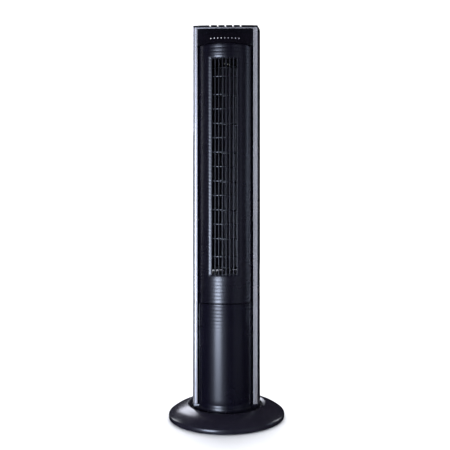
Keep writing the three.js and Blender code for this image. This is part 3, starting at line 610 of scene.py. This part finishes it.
def build_impeller():
    verts, faces = [], []

    def loop_strip(section, z0, z1):
        n, start = len(section), len(verts)
        verts.extend((x, y, z0) for x, y in section)
        verts.extend((x, y, z1) for x, y in section)
        for i in range(n):
            j = (i + 1) % n
            faces.append((start + i, start + j, start + n + j, start + n + i))
        faces.append(tuple(start + i for i in range(n))[::-1])
        faces.append(tuple(start + n + i for i in range(n)))

    blades, disc = 36, 2.4
    root, chord, thin = 32.0, 8.6, 0.45  # inner radius, radial length and half thickness of a blade
    for stage in range(STAGES):
        z0 = IMPELLER_Z + stage * STAGE_H + disc / 2 + 0.2
        z1 = z0 + STAGE_H - disc - 0.4
        if stage == 0:
            z0 += disc / 2
        if stage == STAGES - 1:
            z1 -= disc / 2
        for b in range(blades):
            turn = 2 * math.pi * (b + stage / STAGES) / blades
            one, other = [], []
            for i in range(6):
                t = i / 5
                r = root + chord * t
                a = turn + 0.34 * t - 0.10 * t * t
                one.append((r * math.cos(a - thin / r), r * math.sin(a - thin / r)))
                other.append((r * math.cos(a + thin / r), r * math.sin(a + thin / r)))
            loop_strip(one + other[::-1], z0 - 0.4, z1 + 0.4)
    blades_obj = make("impeller_blades", verts, faces, 40.0)
    discs = []
    for i in range(STAGES + 1):
        z = IMPELLER_Z + i * STAGE_H
        z0 = z - disc / 2 if 0 < i < STAGES else (z if i == 0 else z - disc)
        inner = IMPELLER_R - 10 if 0 < i < STAGES else 5
        profile = round_profile([(inner, z0), (IMPELLER_R, z0), (IMPELLER_R, z0 + disc), (inner, z0 + disc)],
                                [0.2, 0.4, 0.4, 0.2], 3)
        discs.append(lathe(f"impeller_disc_{i + 1}", profile, 96))
    dress(blades_obj, "impeller_black", "rotor", "impeller")
    for d in discs:
        dress(d, "disc_black", "rotor")


# ---------------------------------------------------------------- stage, light and camera


def build_stage():
    """A wide pale bowl: flat under the fan, curving up into a wall all round, well outside the lamps."""
    turns, flat, bend, rim = 96, 5.0, 1.5, 8.0
    curve = [math.pi / 2 * i / 16 for i in range(17)]
    path = [(flat + bend * math.sin(t), bend - bend * math.cos(t)) for t in curve] + [(flat + bend, rim)]
    angles = [2 * math.pi * i / turns for i in range(turns)]
    verts = [(0, 0, 0)] + [(r * math.cos(a), r * math.sin(a), z) for r, z in path for a in angles]
    faces = [(0, 1 + i, 1 + (i + 1) % turns) for i in range(turns)]
    for ring in range(len(path) - 1):
        for i in range(turns):
            inner, outer = 1 + ring * turns, 1 + (ring + 1) * turns
            j = (i + 1) % turns
            faces.append((inner + i, outer + i, outer + j, inner + j))
    mesh = bpy.data.meshes.new("studio_floor")
    mesh.from_pydata(verts, [], faces)
    floor = bpy.data.objects.new("studio_floor", mesh)
    bpy.context.scene.collection.objects.link(floor)
    mat = bpy.data.materials.new("pale_floor")
    mat.use_nodes = True
    bsdf = mat.node_tree.nodes["Principled BSDF"]
    bsdf.inputs["Base Color"].default_value = (0.60, 0.60, 0.61, 1)
    bsdf.inputs["Roughness"].default_value = 0.9
    bsdf.inputs["Specular IOR Level"].default_value = 0.1
    bsdf.inputs["Emission Color"].default_value = (1, 1, 1, 1)
    # The floor's own glow is dimmer round the fan: a painted soft shadow, on top of the shadow that the lamps
    # cast.
    coord = mat.node_tree.nodes.new("ShaderNodeTexCoord")
    reach = mat.node_tree.nodes.new("ShaderNodeVectorMath")
    reach.operation = "LENGTH"
    floor_glow_with_painted_shadow = mat.node_tree.nodes.new("ShaderNodeMapRange")
    for field, value in {"From Min": 0.13, "From Max": 0.6, "To Min": 0.0, "To Max": 0.6}.items():
        floor_glow_with_painted_shadow.inputs[field].default_value = value
    mat.node_tree.links.new(coord.outputs["Object"], reach.inputs[0])
    mat.node_tree.links.new(reach.outputs["Value"], floor_glow_with_painted_shadow.inputs["Value"])
    mat.node_tree.links.new(floor_glow_with_painted_shadow.outputs["Result"], bsdf.inputs["Emission Strength"])
    floor.visible_glossy = False
    floor.visible_shadow = False
    mesh.materials.append(mat)
    for p in mesh.polygons:
        p.use_smooth = True


def softbox(name, azimuth, distance, z, width, height, power, color=(1, 1, 1), glossy=True):
    """An upright rectangle of light that faces the fan; azimuth 0 is the front, positive to the right."""
    a = math.radians(azimuth)
    data = bpy.data.lights.new(name, "AREA")
    data.shape, data.size, data.size_y = "RECTANGLE", width, height
    data.energy, data.color = power, color
    light = bpy.data.objects.new(name, data)
    light.location = (distance * math.sin(a), -distance * math.cos(a), z)
    light.rotation_euler = (math.pi / 2, 0, a)
    light.visible_glossy = glossy
    light.visible_camera = False
    bpy.context.scene.collection.objects.link(light)
    return light


KEY_DISTANCE, KEY_AZIMUTH = 2.2, -28.4
KEY_COLOR = (0.70, 0.79, 1)
KEY_SHEETS = [  # half-angle, bottom and top in metres, brightness
    (32, -1.3, 1.6, 0.26), (29, -0.9, 1.3, 0.26), (26, -0.1, 1.1, 0.30),
    (13, -0.9, 1.6, 1.8), (12, -0.45, 0.95, 4.0), (10, -0.25, 0.45, 10.5),
]


def build_light():
    world = bpy.data.worlds.new("studio")
    world.use_nodes = True
    background = world.node_tree.nodes["Background"]
    background.inputs["Color"].default_value = (0.95, 0.97, 1.0, 1)
    background.inputs["Strength"].default_value = 0.3
    bpy.context.scene.world = world
    world.cycles_visibility.glossy = False
    # The key is a stack of sheets, so that its light fades out softly to the sides, up and down.
    for i, (half, low, high, strength) in enumerate(KEY_SHEETS):
        distance = KEY_DISTANCE + 0.05 * i
        width, tall = 2 * distance * math.tan(math.radians(half)), high - low
        power = 4 * strength * width * tall
        softbox(f"key_{i + 1}", KEY_AZIMUTH, distance, (low + high) / 2, width, tall, power, KEY_COLOR)
    softbox("fill_right", 50, 2.4, 0.6, 1.6, 2.2, 3.2, KEY_COLOR)
    softbox("edge_right", 98, 2.0, 0.75, 0.18, 1.4, 2.3, (0.62, 0.75, 1))
    rear = softbox("rear_left", 0, 0.1, 0.1, 1.1, 0.9, 24, (0.86, 0.88, 1))
    rear.location = (-0.68, 1.9, 1.3)
    rear.rotation_euler = (-rear.location).to_track_quat("-Z", "Y").to_euler()
    for side, azimuth in (("left", 238), ("right", 122)):
        softbox(f"back_{side}", azimuth, 2.4, 0.9, 0.7, 1.4, 12, (0.9, 0.94, 1))
    backlight = softbox("backlight", 0, -3.2, 1.7, 5, 2.2, 230, glossy=False)
    backlight.rotation_euler = (-backlight.location).to_track_quat("-Z", "Y").to_euler()
    overhead = softbox("overhead", 0, -0.8, 3.2, 2.6, 2.4, 40, glossy=False)
    overhead.rotation_euler = (0, 0, 0)


def build_camera():
    """A level view from the front, with the camera a little to the right and slightly turned."""
    turn = math.radians(2.06)
    distance, sideways, height = 1.894, 0.0525, 0.594
    back = Vector((math.sin(turn), -math.cos(turn), 0))
    right = Vector((math.cos(turn), math.sin(turn), 0))
    data = bpy.data.cameras.new("photo_camera")
    data.sensor_width = 36.0
    data.lens = 58.54
    data.shift_x, data.shift_y = -0.0489, -0.0847
    data.clip_end = 50
    camera = bpy.data.objects.new("photo_camera", data)
    camera.location = back * distance + right * sideways + Vector((0, 0, height))
    camera.rotation_euler = (math.pi / 2, 0, turn)
    bpy.context.scene.collection.objects.link(camera)
    bpy.context.scene.camera = camera


build_base()
build_front()
build_head()
build_shells()
build_impeller()
build_stage()
build_light()
build_camera()
bpy.context.scene.view_settings.view_transform = "Standard"
